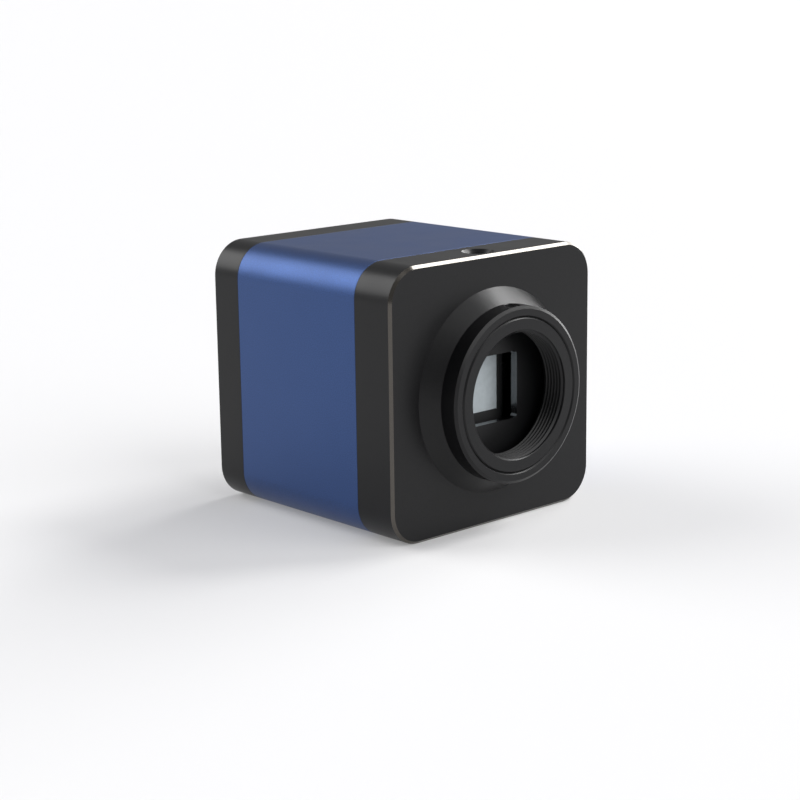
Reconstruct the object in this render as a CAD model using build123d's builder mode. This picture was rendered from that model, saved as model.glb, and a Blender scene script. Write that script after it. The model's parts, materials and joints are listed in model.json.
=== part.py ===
from build123d import *
import os

# Microscope camera with a C-mount: a black front housing with a flared nose and a threaded
# lens ring, a blue sleeve, a black rear cover with its sockets, and the boards inside.
# Millimetres, +Z up. The lens side faces -Y. The origin is the centre of the lens ring's
# front face, the flange that a lens seats on, so y is the distance behind the flange.

# Housing
body_width = 55.0
body_height = 54.0
corner_radius = 7.0
edge_chamfer = 0.55
seam_chamfer = 0.05
front_length = 10.0
sleeve_length = 35.5
rear_length = 8.0
sleeve_wall = 2.5
rear_panel = 2.0
lip_length = 2.0
lip_wall = 1.2
lip_clearance = 0.1
lip_end_gap = 0.2

# Nose and lens well
nose_height = 6.9
barrel_radius = 17.5
nose_chamfer_width = 0.6
nose_chamfer_depth = 0.4
cone_height = 3.0
cone_radius = 20.45
mask_setback = 0.8
mask_thickness = 1.6
window_width = 14.15
window_height = 13.6
window_corner = 0.8

# Lens ring, with a 1 inch by 32 thread whose crests lie at the bore radius
ring_radius = 15.3
ring_clearance = 0.05
ring_length = 5.64
ring_edge_chamfer = 0.28
ring_bore_radius = 12.3
ring_mouth_radius = 12.85

# Lock screw across the nose barrel
lock_screw_radius = 1.5
lock_screw_setback = 2.2
lock_screw_recess = 0.25
lock_screw_tip_gap = 0.3
lock_rim_chamfer = 0.12
lock_key_width = 1.5
lock_key_depth = 0.9

# Camera thread on top, 1/4 inch by 20
camera_thread_radius = 2.6
camera_rim_radius = 3.3
camera_thread_depth = 6.0
camera_thread_setback = 4.5
camera_boss_inset = 0.3
camera_boss_floor = 1.2

# Long housing screws in the four corners, M2.5
screw_inset = 6.4
screw_post_radius = 3.2
screw_radius = 1.25
screw_channel_clearance = 0.2
screw_engagement = 3.5
screw_head_radius = 2.2
screw_head_height = 1.6
screw_head_recess = 0.3
screw_head_clearance = 0.25
screw_key_width = 1.5
screw_key_depth = 0.9
tapped_hole_clearance = 0.03
tapped_hole_spare = 1.0

# Sensor stack
focal_distance = 17.526
die_width = 8.4
die_height = 6.6
die_thickness = 0.3
die_margin = 0.9
package_width = 15.0
package_height = 13.0
package_base = 1.07
package_rim = 0.8
cover_glass_width = 12.6
cover_glass_height = 10.8
cover_glass_thickness = 0.5
gasket_thickness = 1.0
gasket_width = 0.8
filter_width = 13.2
filter_height = 11.5
filter_thickness = 1.1
filter_ledge = 0.6
filter_fit = 0.05
holder_ledge_thickness = 1.2
holder_rim = 0.25
holder_frame_side = 1.4
holder_frame_top = 2.5
holder_wall = 1.6
holder_clearance = 0.2
holder_ear_width = 4.0
holder_ear_thickness = 2.0

# Sensor board, on four posts of the front housing
sensor_board_width = 34.0
sensor_board_height = 32.0
board_thickness = 1.6
board_post_inset = 3.0
board_post_width = 4.8
board_screw_radius = 1.0
board_screw_grip = 3.0
board_screw_head_radius = 1.9
board_screw_head_height = 1.3
board_hole_clearance = 0.15
holder_screw_radius = 0.8
holder_screw_grip = 1.6
holder_screw_head_radius = 1.4
holder_screw_head_height = 1.0

# Flat cable and its two connectors
connector_width = 18.0
connector_depth = 4.0
connector_height = 1.6
sensor_connector_z = 5.4
main_connector_y = 23.9
ribbon_width = 16.0
ribbon_thickness = 0.2
ribbon_bend = 2.0

# Main board in the sleeve's rails
board_top_z = -1.0
rail_reach = 2.6
rail_height = 4.6
rail_slot_depth = 1.2
rail_slot_clearance = 0.1
board_edge_clearance = 0.2
board_notch_clearance = 1.0
board_notch_gap = 2.0
board_end_gap = 0.2

# Chips on the main board
chip_y = 36.8
processor_width = 14.0
processor_height = 1.3
thermal_pad_width = 12.0
thermal_pad_height = 0.6
heat_sink_width = 18.0
heat_sink_base = 1.6
heat_sink_height = 8.0
fin_count = 7
fin_thickness = 0.9
memory_width = 8.0
memory_length = 12.0
memory_height = 1.1
memory_gap = 2.5
inductor_width = 4.0
inductor_height = 2.2
inductor_margin = 4.9
inductor_spacing = 5.5
inductor_y = 38.0

# Video socket, on top of the main board, midway between its neighbours
socket_recess = 0.3
socket_clearance = 0.25
socket_margin = 0.65
video_width = 14.8
video_height = 5.4
video_depth = 11.0
video_bevel = 1.3
video_shell_wall = 0.35
video_back = 3.0
video_tongue_width = 11.2
video_tongue_height = 1.3
video_tongue_setback = 1.2
video_tongue_rise = 0.5

# Data socket, on top of the main board
data_width = 13.1
data_height = 5.7
data_depth = 14.0
data_corner = 0.5
data_shell_wall = 0.3
data_back = 3.5
data_tongue_width = 11.1
data_tongue_height = 1.84
data_tongue_setback = 1.0
data_tongue_rise = 0.75

# Power jack, on top of the main board
jack_width = 9.0
jack_height = 9.0
jack_depth = 13.0
jack_axis_rise = 4.6
jack_nose_radius = 3.9
jack_bore_radius = 3.15
jack_bore_depth = 9.5
jack_pin_radius = 1.0
jack_pin_setback = 1.0

# Memory card socket, under the main board
card_margin = 0.4
card_slot_width = 24.6
card_slot_height = 2.3
card_slot_depth = 28.0
card_side = 1.2
card_back = 1.5
card_roof = 0.5
card_cover = 0.25
card_opening_margin = 0.4

# Power button and its switch, under the main board
button_margin = 0.3
button_drop = 4.6
button_radius = 2.8
button_guide_clearance = 0.2
button_proud = 0.8
button_flange_radius = 3.4
button_flange_thickness = 0.8
button_flange_gap = 0.1
button_edge = 0.3
button_travel = 0.4
plunger_radius = 1.3
plunger_clearance = 0.3
plunger_length = 1.6
plunger_insertion = 0.7
switch_width = 6.0
switch_half_height = 3.0
switch_depth = 3.6

# Status light, under the main board
led_spacing = 5.7
led_drop = 4.6
led_radius = 1.5
led_clearance = 0.1
led_flange_radius = 1.9
led_flange_thickness = 0.8
led_holder_width = 4.6
led_holder_half_height = 2.4
led_holder_depth = 4.5

# Places along the optical axis
front_face_y = nose_height
front_seam_y = front_face_y + front_length
rear_seam_y = front_seam_y + sleeve_length
rear_face_y = rear_seam_y + rear_length
rear_panel_y = rear_face_y - rear_panel
well_floor_y = front_face_y + mask_setback
mask_back_y = well_floor_y + mask_thickness
lip_end_y = front_seam_y + lip_length
package_front_y = focal_distance - package_rim
package_floor_y = focal_distance + die_thickness
sensor_board_y = package_floor_y + package_base
sensor_board_back_y = sensor_board_y + board_thickness
glass_front_y = package_front_y - cover_glass_thickness
ledge_back_y = glass_front_y - gasket_thickness
filter_back_y = ledge_back_y - holder_ledge_thickness
holder_front_y = filter_back_y - filter_thickness - holder_rim

# Widths and heights that follow
inner_width = body_width - 2 * sleeve_wall
inner_height = body_height - 2 * sleeve_wall
inner_radius = corner_radius - sleeve_wall
lip_width = inner_width - 2 * lip_clearance
lip_height = inner_height - 2 * lip_clearance
lip_radius = inner_radius - lip_clearance
hollow_width = lip_width - 2 * lip_wall
hollow_height = lip_height - 2 * lip_wall
hollow_radius = lip_radius - lip_wall
top_z = body_height / 2
screw_x = body_width / 2 - screw_inset
screw_z = body_height / 2 - screw_inset
well_radius = ring_radius + ring_clearance
tapped_radius = screw_radius + tapped_hole_clearance
channel_radius = screw_radius + screw_channel_clearance
board_tapped_radius = board_screw_radius + tapped_hole_clearance
board_bottom_z = board_top_z - board_thickness
board_middle_z = board_top_z - board_thickness / 2
camera_thread_y = front_face_y + camera_thread_setback
camera_boss_radius = camera_thread_setback - camera_boss_inset
board_post_x = sensor_board_width / 2 - board_post_inset
board_post_z = sensor_board_height / 2 - board_post_inset
memory_x = heat_sink_width / 2 + memory_gap + memory_width / 2
holder_ear_x = package_width / 2 + holder_clearance + holder_wall + holder_ear_width / 2

# Places across the main board, between the rails. The power jack is on the -X side
rail_face_x = inner_width / 2 - rail_reach
data_x = rail_face_x - socket_margin - data_width / 2
jack_x = jack_width / 2 + socket_margin - rail_face_x
video_x = (data_x - data_width / 2 + jack_x + jack_width / 2) / 2
card_width = card_slot_width + 2 * card_side
card_x = rail_face_x - card_margin - card_width / 2
button_x = button_flange_radius + button_margin - rail_face_x
led_x = button_x + led_spacing
inductor_x = inductor_width / 2 + inductor_margin - rail_face_x

os.makedirs("parts", exist_ok=True)


def across(distance):
    """Plane square to the optical axis, that far behind the flange. Extrusions grow towards the lens."""
    return Plane.XZ.offset(-distance)


def screws_at(spots, seat_y, radius, length, head_radius, head_height):
    """Screws whose heads sit behind seat_y and whose tips point at the lens."""
    with BuildPart() as screws:
        with BuildSketch(across(seat_y + head_height)):
            with Locations(*spots):
                Circle(head_radius)
        extrude(amount=head_height)
        with BuildSketch(across(seat_y)):
            with Locations(*spots):
                Circle(radius)
        extrude(amount=length)
    return screws


# Corner posts that the long screws run through, as one outline for all three housing sections
with BuildSketch() as corner_posts:
    with Locations((screw_x, screw_z)):
        Circle(screw_post_radius)
    with Locations((screw_x, screw_z - screw_post_radius)):
        Rectangle(screw_inset, screw_inset + screw_post_radius, align=(Align.MIN, Align.MIN))
    with Locations((screw_x - screw_post_radius, screw_z)):
        Rectangle(screw_inset + screw_post_radius, screw_inset, align=(Align.MIN, Align.MIN))
    mirror(about=Plane.YZ)
    mirror(about=Plane.XZ)

corner_spots = [(x, z) for x in (-screw_x, screw_x) for z in (-screw_z, screw_z)]
board_spots = [(x, z) for x in (-board_post_x, board_post_x) for z in (-board_post_z, board_post_z)]
ear_spots = [(-holder_ear_x, 0), (holder_ear_x, 0)]

# Front housing: block, chamfered front edge, nose, lip that enters the sleeve
with BuildPart() as front_housing:
    with BuildSketch(across(front_seam_y)):
        RectangleRounded(body_width, body_height, corner_radius)
    extrude(amount=front_length)
    chamfer(front_housing.faces().sort_by(Axis.Y)[0].edges(), edge_chamfer)
    chamfer(front_housing.faces().sort_by(Axis.Y)[-1].edges(), seam_chamfer)
    with BuildSketch(across(lip_end_y)):
        RectangleRounded(lip_width, lip_height, lip_radius)
    extrude(amount=lip_length + seam_chamfer)
    with BuildSketch(Plane.XY):
        with BuildLine():
            Polyline(
                (0, 0),
                (barrel_radius - nose_chamfer_width, 0),
                (barrel_radius, nose_chamfer_depth),
                (barrel_radius, front_face_y - cone_height),
                (cone_radius, front_face_y),
                (cone_radius, well_floor_y),
                (0, well_floor_y),
                close=True,
            )
        make_face()
    revolve(axis=Axis.Y)
    # Hollow behind the mask wall, round the corner posts
    with BuildSketch(across(lip_end_y)):
        RectangleRounded(hollow_width, hollow_height, hollow_radius)
        add(corner_posts.sketch, mode=Mode.SUBTRACT)
    extrude(amount=lip_end_y - mask_back_y, mode=Mode.SUBTRACT)
    # Posts for the sensor board
    with BuildSketch(across(sensor_board_y)):
        with Locations(*board_spots):
            Rectangle(board_post_width, board_post_width)
    extrude(amount=sensor_board_y - mask_back_y)
    # Boss under the camera thread, joined to the mask wall
    with BuildSketch(Plane.XY.offset(top_z - camera_thread_depth - camera_boss_floor)):
        with Locations((0, camera_thread_y)):
            Circle(camera_boss_radius)
        with Locations((0, mask_back_y)):
            Rectangle(
                2 * camera_boss_radius,
                camera_thread_y - mask_back_y,
                align=(Align.CENTER, Align.MIN),
            )
    extrude(amount=camera_thread_depth + camera_boss_floor - edge_chamfer)
    # Lens well with its mouth chamfer, and the window in the mask wall
    with BuildSketch(Plane.XY):
        with BuildLine():
            Polyline(
                (0, 0),
                (well_radius + ring_edge_chamfer, 0),
                (well_radius, ring_edge_chamfer),
                (well_radius, well_floor_y),
                (0, well_floor_y),
                close=True,
            )
        make_face()
    revolve(axis=Axis.Y, mode=Mode.SUBTRACT)
    with BuildSketch(across(mask_back_y)):
        RectangleRounded(window_width, window_height, window_corner)
    extrude(amount=mask_thickness, mode=Mode.SUBTRACT)
    # Tapped holes: long screws, sensor board, camera thread and lock screw
    with BuildSketch(across(lip_end_y)):
        with Locations(*corner_spots):
            Circle(tapped_radius)
    extrude(amount=lip_length + screw_engagement + tapped_hole_spare, mode=Mode.SUBTRACT)
    with BuildSketch(across(sensor_board_y)):
        with Locations(*board_spots):
            Circle(board_tapped_radius)
    extrude(amount=board_screw_grip + tapped_hole_spare, mode=Mode.SUBTRACT)
    with Locations((0, camera_thread_y, top_z)):
        CounterSinkHole(
            camera_thread_radius,
            camera_rim_radius,
            depth=camera_thread_depth,
            counter_sink_angle=90,
        )
    with Locations((0, lock_screw_setback, barrel_radius)):
        CounterSinkHole(
            lock_screw_radius + tapped_hole_clearance,
            lock_screw_radius + tapped_hole_clearance + lock_rim_chamfer,
            depth=barrel_radius - ring_bore_radius,
            counter_sink_angle=90,
        )
front_housing.part.label = "front_housing"
export_step(front_housing.part, "parts/front_housing.step")

# Lens ring, flush with the nose
with BuildPart() as c_mount_ring:
    with BuildSketch(Plane.XY):
        with BuildLine():
            Polyline(
                (ring_mouth_radius, 0),
                (ring_radius - ring_edge_chamfer, 0),
                (ring_radius, ring_edge_chamfer),
                (ring_radius, ring_length),
                (ring_bore_radius, ring_length),
                (ring_bore_radius, ring_mouth_radius - ring_bore_radius),
                close=True,
            )
        make_face()
    revolve(axis=Axis.Y)
c_mount_ring.part.label = "c_mount_ring"
export_step(c_mount_ring.part, "parts/c_mount_ring.step")

# Set screw that locks the ring
with BuildPart() as ring_lock_screw:
    lock_top = barrel_radius - lock_screw_recess
    with BuildSketch(Plane.XY.offset(well_radius + lock_screw_tip_gap)):
        with Locations((0, lock_screw_setback)):
            Circle(lock_screw_radius)
    extrude(amount=lock_top - well_radius - lock_screw_tip_gap)
    with BuildSketch(Plane.XY.offset(lock_top)):
        with Locations((0, lock_screw_setback)):
            RegularPolygon(lock_key_width / 2, 6, major_radius=False)
    extrude(amount=-lock_key_depth, mode=Mode.SUBTRACT)
ring_lock_screw.part.label = "ring_lock_screw"
export_step(ring_lock_screw.part, "parts/ring_lock_screw.step")

# Sleeve: extruded tube with corner posts and a pair of card rails, its ends cleared for the lips
with BuildPart() as centre_sleeve:
    with BuildSketch(across(rear_seam_y)):
        RectangleRounded(body_width, body_height, corner_radius)
    extrude(amount=sleeve_length)
    chamfer(centre_sleeve.faces().sort_by(Axis.Y)[0].edges(), seam_chamfer)
    chamfer(centre_sleeve.faces().sort_by(Axis.Y)[-1].edges(), seam_chamfer)
    with BuildSketch(across(rear_seam_y)):
        RectangleRounded(inner_width, inner_height, inner_radius)
        add(corner_posts.sketch, mode=Mode.SUBTRACT)
        with Locations((-inner_width / 2, board_middle_z), (inner_width / 2, board_middle_z)):
            Rectangle(2 * rail_reach, rail_height, mode=Mode.SUBTRACT)
        with Locations((0, board_middle_z)):
            Rectangle(
                inner_width - 2 * rail_reach + 2 * rail_slot_depth,
                board_thickness + 2 * rail_slot_clearance,
            )
    extrude(amount=sleeve_length, mode=Mode.SUBTRACT)
    for end_y in (rear_seam_y, front_seam_y + lip_length + lip_end_gap):
        with BuildSketch(across(end_y)):
            RectangleRounded(inner_width, inner_height, inner_radius)
        extrude(amount=lip_length + lip_end_gap, mode=Mode.SUBTRACT)
    with BuildSketch(across(rear_seam_y)):
        with Locations(*corner_spots):
            Circle(channel_radius)
    extrude(amount=sleeve_length, mode=Mode.SUBTRACT)
centre_sleeve.part.label = "centre_sleeve"
export_step(centre_sleeve.part, "parts/centre_sleeve.step")

# Outlines of the sockets, shared by their shells and the openings in the rear panel
with BuildSketch() as video_outline:
    with Locations((video_x, board_top_z + video_height / 2)):
        Rectangle(video_width, video_height)
    chamfer(video_outline.vertices().group_by(Axis.Y)[0], video_bevel)
with BuildSketch() as data_outline:
    with Locations((data_x, board_top_z + data_height / 2)):
        RectangleRounded(data_width, data_height, data_corner)
card_slot_z = board_bottom_z - card_roof - card_slot_height / 2
button_z = board_bottom_z - button_drop
led_z = board_bottom_z - led_drop
jack_z = board_top_z + jack_axis_rise

# Rear cover: cap with the same lip, counterbored for the screws, cut through for the sockets
with BuildPart() as rear_cover:
    with BuildSketch(across(rear_face_y)):
        RectangleRounded(body_width, body_height, corner_radius)
    extrude(amount=rear_length)
    chamfer(rear_cover.faces().sort_by(Axis.Y)[-1].edges(), edge_chamfer)
    chamfer(rear_cover.faces().sort_by(Axis.Y)[0].edges(), seam_chamfer)
    with BuildSketch(across(rear_seam_y + seam_chamfer)):
        RectangleRounded(lip_width, lip_height, lip_radius)
    extrude(amount=lip_length + seam_chamfer)
    with BuildSketch(across(rear_panel_y)):
        RectangleRounded(hollow_width, hollow_height, hollow_radius)
        add(corner_posts.sketch, mode=Mode.SUBTRACT)
    extrude(amount=rear_length - rear_panel + lip_length, mode=Mode.SUBTRACT)
    with BuildSketch(across(rear_face_y)):
        with Locations(*corner_spots):
            Circle(channel_radius)
    extrude(amount=rear_length + lip_length, mode=Mode.SUBTRACT)
    with BuildSketch(across(rear_face_y)):
        with Locations(*corner_spots):
            Circle(screw_head_radius + screw_head_clearance)
    extrude(amount=screw_head_recess + screw_head_height, mode=Mode.SUBTRACT)
    with BuildSketch(across(rear_face_y)):
        add(video_outline.sketch)
        add(data_outline.sketch)
        offset(amount=socket_clearance, mode=Mode.REPLACE)
        with Locations((jack_x, jack_z)):
            Circle(jack_nose_radius + socket_clearance)
        with Locations((card_x, card_slot_z)):
            Rectangle(
                card_slot_width + 2 * card_opening_margin,
                card_slot_height + 2 * card_opening_margin,
            )
        with Locations((button_x, button_z)):
            Circle(button_radius + button_guide_clearance)
        with Locations((led_x, led_z)):
            Circle(led_radius + led_clearance)
    extrude(amount=rear_panel, mode=Mode.SUBTRACT)
rear_cover.part.label = "rear_cover"
export_step(rear_cover.part, "parts/rear_cover.step")

# Four long screws through the rear cover and the sleeve into the front housing
screw_seat_y = rear_face_y - screw_head_recess - screw_head_height
screw_blanks = screws_at(
    corner_spots,
    screw_seat_y,
    screw_radius,
    screw_seat_y - (front_seam_y - screw_engagement),
    screw_head_radius,
    screw_head_height,
)
with BuildPart() as housing_screws:
    add(screw_blanks.part)
    with BuildSketch(across(screw_seat_y + screw_head_height)):
        with Locations(*corner_spots):
            RegularPolygon(screw_key_width / 2, 6, major_radius=False)
    extrude(amount=screw_key_depth, mode=Mode.SUBTRACT)
housing_screws.part.label = "housing_screws"
export_step(housing_screws.part, "parts/housing_screws.step")

# Image sensor: ceramic package with a recess, silicon die, cover glass
with BuildPart() as sensor_package:
    with BuildSketch(across(sensor_board_y)):
        Rectangle(package_width, package_height)
    extrude(amount=sensor_board_y - package_front_y)
    with BuildSketch(across(package_floor_y)):
        Rectangle(die_width + 2 * die_margin, die_height + 2 * die_margin)
    extrude(amount=package_floor_y - package_front_y, mode=Mode.SUBTRACT)
sensor_package.part.label = "sensor_package"
export_step(sensor_package.part, "parts/sensor_package.step")

with BuildPart() as sensor_die:
    with BuildSketch(across(package_floor_y)):
        Rectangle(die_width, die_height)
    extrude(amount=die_thickness)
sensor_die.part.label = "sensor_die"
export_step(sensor_die.part, "parts/sensor_die.step")

with BuildPart() as sensor_cover_glass:
    with BuildSketch(across(package_front_y)):
        Rectangle(cover_glass_width, cover_glass_height)
    extrude(amount=cover_glass_thickness)
sensor_cover_glass.part.label = "sensor_cover_glass"
export_step(sensor_cover_glass.part, "parts/sensor_cover_glass.step")

# Dust seal between the cover glass and the filter holder
with BuildPart() as sensor_gasket:
    with BuildSketch(across(glass_front_y)):
        Rectangle(cover_glass_width, cover_glass_height)
        Rectangle(
            cover_glass_width - 2 * gasket_width,
            cover_glass_height - 2 * gasket_width,
            mode=Mode.SUBTRACT,
        )
    extrude(amount=gasket_thickness)
sensor_gasket.part.label = "sensor_gasket"
export_step(sensor_gasket.part, "parts/sensor_gasket.step")

# Filter holder: box over the sensor, a narrower frame with a ledge for the filter, two screwed ears
with BuildPart() as filter_holder:
    with BuildSketch(across(sensor_board_y)):
        Rectangle(
            package_width + 2 * (holder_clearance + holder_wall),
            package_height + 2 * (holder_clearance + holder_wall),
        )
    extrude(amount=sensor_board_y - filter_back_y)
    with BuildSketch(across(filter_back_y)):
        Rectangle(
            filter_width + 2 * (filter_fit + holder_frame_side),
            filter_height + 2 * (filter_fit + holder_frame_top),
        )
    extrude(amount=filter_back_y - holder_front_y)
    with BuildSketch(across(sensor_board_y)):
        with Locations(*ear_spots):
            Rectangle(holder_ear_width, holder_ear_width)
    extrude(amount=holder_ear_thickness)
    with BuildSketch(across(sensor_board_y)):
        Rectangle(package_width + 2 * holder_clearance, package_height + 2 * holder_clearance)
    extrude(amount=sensor_board_y - ledge_back_y, mode=Mode.SUBTRACT)
    with BuildSketch(across(ledge_back_y)):
        Rectangle(filter_width - 2 * filter_ledge, filter_height - 2 * filter_ledge)
    extrude(amount=holder_ledge_thickness, mode=Mode.SUBTRACT)
    with BuildSketch(across(filter_back_y)):
        Rectangle(filter_width + 2 * filter_fit, filter_height + 2 * filter_fit)
    extrude(amount=filter_thickness + holder_rim, mode=Mode.SUBTRACT)
    with BuildSketch(across(sensor_board_y)):
        with Locations(*ear_spots):
            Circle(holder_screw_radius + tapped_hole_clearance)
    extrude(amount=holder_ear_thickness, mode=Mode.SUBTRACT)
filter_holder.part.label = "filter_holder"
export_step(filter_holder.part, "parts/filter_holder.step")

with BuildPart() as ir_cut_filter:
    with BuildSketch(across(filter_back_y)):
        Rectangle(filter_width, filter_height)
    extrude(amount=filter_thickness)
ir_cut_filter.part.label = "ir_cut_filter"
export_step(ir_cut_filter.part, "parts/ir_cut_filter.step")

# Sensor board and the screws that hold it and the filter holder
with BuildPart() as sensor_board:
    with BuildSketch(across(sensor_board_back_y)):
        Rectangle(sensor_board_width, sensor_board_height)
        with Locations(*board_spots):
            Circle(board_screw_radius + board_hole_clearance, mode=Mode.SUBTRACT)
        with Locations(*ear_spots):
            Circle(holder_screw_radius + board_hole_clearance, mode=Mode.SUBTRACT)
    extrude(amount=board_thickness)
sensor_board.part.label = "sensor_board"
export_step(sensor_board.part, "parts/sensor_board.step")

sensor_board_screws = screws_at(
    board_spots,
    sensor_board_back_y,
    board_screw_radius,
    board_thickness + board_screw_grip,
    board_screw_head_radius,
    board_screw_head_height,
)
sensor_board_screws.part.label = "sensor_board_screws"
export_step(sensor_board_screws.part, "parts/sensor_board_screws.step")

holder_screws = screws_at(
    ear_spots,
    sensor_board_back_y,
    holder_screw_radius,
    board_thickness + holder_screw_grip,
    holder_screw_head_radius,
    holder_screw_head_height,
)
holder_screws.part.label = "holder_screws"
export_step(holder_screws.part, "parts/holder_screws.step")

# Flat cable from the back of the sensor board, round one bend, to the main board
with BuildPart() as sensor_connector:
    with BuildSketch(across(sensor_board_back_y + connector_height)):
        with Locations((0, sensor_connector_z)):
            Rectangle(connector_width, connector_depth)
    extrude(amount=connector_height)
sensor_connector.part.label = "sensor_connector"
export_step(sensor_connector.part, "parts/sensor_connector.step")

with BuildPart() as main_connector:
    with BuildSketch(Plane.XY.offset(board_top_z)):
        with Locations((0, main_connector_y)):
            Rectangle(connector_width, connector_depth, align=(Align.CENTER, Align.MIN))
    extrude(amount=connector_height)
main_connector.part.label = "main_connector"
export_step(main_connector.part, "parts/main_connector.step")

ribbon_y = sensor_board_back_y + connector_height / 2
ribbon_z = board_top_z + connector_height / 2
with BuildPart() as ribbon_cable:
    with BuildSketch(Plane.YZ):
        with BuildLine():
            FilletPolyline(
                (ribbon_y, sensor_connector_z - connector_depth / 2),
                (ribbon_y, ribbon_z),
                (main_connector_y, ribbon_z),
                radius=ribbon_bend,
            )
        trace(line_width=ribbon_thickness)
    extrude(amount=ribbon_width / 2, both=True)
ribbon_cable.part.label = "ribbon_cable"
export_step(ribbon_cable.part, "parts/ribbon_cable.step")

# Main board: its front ears reach past the sensor board to the front housing's lip
main_board_front_y = lip_end_y + board_end_gap
main_board_rear_y = rear_panel_y - board_end_gap
board_notch_y = sensor_board_back_y + board_notch_gap
main_board_width = inner_width - 2 * rail_reach + 2 * rail_slot_depth - 2 * board_edge_clearance
with BuildPart() as main_board:
    with BuildSketch(Plane.XY.offset(board_bottom_z)):
        with Locations((0, main_board_front_y)):
            Rectangle(
                main_board_width,
                main_board_rear_y - main_board_front_y,
                align=(Align.CENTER, Align.MIN),
            )
            Rectangle(
                sensor_board_width + 2 * board_notch_clearance,
                board_notch_y - main_board_front_y,
                align=(Align.CENTER, Align.MIN),
                mode=Mode.SUBTRACT,
            )
    extrude(amount=board_thickness)
main_board.part.label = "main_board"
export_step(main_board.part, "parts/main_board.step")

# Processor with its pad and finned heat sink
pad_z = board_top_z + processor_height
sink_z = pad_z + thermal_pad_height
with BuildPart() as processor_chip:
    with BuildSketch(Plane.XY.offset(board_top_z)):
        with Locations((0, chip_y)):
            Rectangle(processor_width, processor_width)
    extrude(amount=processor_height)
processor_chip.part.label = "processor_chip"
export_step(processor_chip.part, "parts/processor_chip.step")

with BuildPart() as thermal_pad:
    with BuildSketch(Plane.XY.offset(pad_z)):
        with Locations((0, chip_y)):
            Rectangle(thermal_pad_width, thermal_pad_width)
    extrude(amount=thermal_pad_height)
thermal_pad.part.label = "thermal_pad"
export_step(thermal_pad.part, "parts/thermal_pad.step")

fin_pitch = (heat_sink_width - fin_thickness) / (fin_count - 1)
with BuildPart() as heat_sink:
    with BuildSketch(Plane.XY.offset(sink_z)):
        with Locations((0, chip_y)):
            Rectangle(heat_sink_width, heat_sink_width)
    extrude(amount=heat_sink_base)
    with BuildSketch(Plane.XY.offset(sink_z + heat_sink_base)):
        with Locations((0, chip_y)):
            with GridLocations(fin_pitch, 0, fin_count, 1):
                Rectangle(fin_thickness, heat_sink_width)
    extrude(amount=heat_sink_height - heat_sink_base)
heat_sink.part.label = "heat_sink"
export_step(heat_sink.part, "parts/heat_sink.step")

with BuildPart() as memory_chips:
    with BuildSketch(Plane.XY.offset(board_top_z)):
        with Locations((-memory_x, chip_y), (memory_x, chip_y)):
            Rectangle(memory_width, memory_length)
    extrude(amount=memory_height)
memory_chips.part.label = "memory_chips"
export_step(memory_chips.part, "parts/memory_chips.step")

with BuildPart() as power_inductors:
    with BuildSketch(Plane.XY.offset(board_bottom_z)):
        with Locations((inductor_x, inductor_y)):
            with GridLocations(0, inductor_spacing, 1, 3):
                Rectangle(inductor_width, inductor_width)
    extrude(amount=-inductor_height)
power_inductors.part.label = "power_inductors"
export_step(power_inductors.part, "parts/power_inductors.step")

# Video socket: folded shell, and the moulding with its tongue
socket_mouth_y = rear_face_y - socket_recess
with BuildPart() as video_shell:
    with BuildSketch(across(socket_mouth_y)):
        add(video_outline.sketch)
        offset(amount=-video_shell_wall, kind=Kind.INTERSECTION, mode=Mode.SUBTRACT)
    extrude(amount=video_depth)
video_shell.part.label = "video_shell"
export_step(video_shell.part, "parts/video_shell.step")

video_back_y = socket_mouth_y - video_depth
with BuildPart() as video_insert:
    with BuildSketch(across(video_back_y + video_back)):
        add(video_outline.sketch)
        offset(amount=-video_shell_wall, kind=Kind.INTERSECTION, mode=Mode.REPLACE)
    extrude(amount=video_back)
    with BuildSketch(across(socket_mouth_y - video_tongue_setback)):
        with Locations((video_x, board_top_z + video_height / 2 + video_tongue_rise)):
            Rectangle(video_tongue_width, video_tongue_height)
    extrude(amount=video_depth - video_tongue_setback - video_back)
video_insert.part.label = "video_insert"
export_step(video_insert.part, "parts/video_insert.step")

# Data socket, made the same way
with BuildPart() as data_shell:
    with BuildSketch(across(socket_mouth_y)):
        add(data_outline.sketch)
        offset(amount=-data_shell_wall, kind=Kind.INTERSECTION, mode=Mode.SUBTRACT)
    extrude(amount=data_depth)
data_shell.part.label = "data_shell"
export_step(data_shell.part, "parts/data_shell.step")

data_back_y = socket_mouth_y - data_depth
with BuildPart() as data_insert:
    with BuildSketch(across(data_back_y + data_back)):
        add(data_outline.sketch)
        offset(amount=-data_shell_wall, kind=Kind.INTERSECTION, mode=Mode.REPLACE)
    extrude(amount=data_back)
    with BuildSketch(across(socket_mouth_y - data_tongue_setback)):
        with Locations((data_x, board_top_z + data_height / 2 + data_tongue_rise)):
            Rectangle(data_tongue_width, data_tongue_height)
    extrude(amount=data_depth - data_tongue_setback - data_back)
data_insert.part.label = "data_insert"
export_step(data_insert.part, "parts/data_insert.step")

# Power jack: moulded body with a round nose in the panel, and its centre pin
jack_body_rear_y = main_board_rear_y
with BuildPart() as power_jack_body:
    with BuildSketch(across(jack_body_rear_y)):
        with Locations((jack_x, board_top_z)):
            Rectangle(jack_width, jack_height, align=(Align.CENTER, Align.MIN))
    extrude(amount=jack_depth)
    with BuildSketch(across(socket_mouth_y)):
        with Locations((jack_x, jack_z)):
            Circle(jack_nose_radius)
    extrude(amount=socket_mouth_y - jack_body_rear_y)
    with BuildSketch(across(socket_mouth_y)):
        with Locations((jack_x, jack_z)):
            Circle(jack_bore_radius)
    extrude(amount=jack_bore_depth, mode=Mode.SUBTRACT)
power_jack_body.part.label = "power_jack_body"
export_step(power_jack_body.part, "parts/power_jack_body.step")

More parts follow.
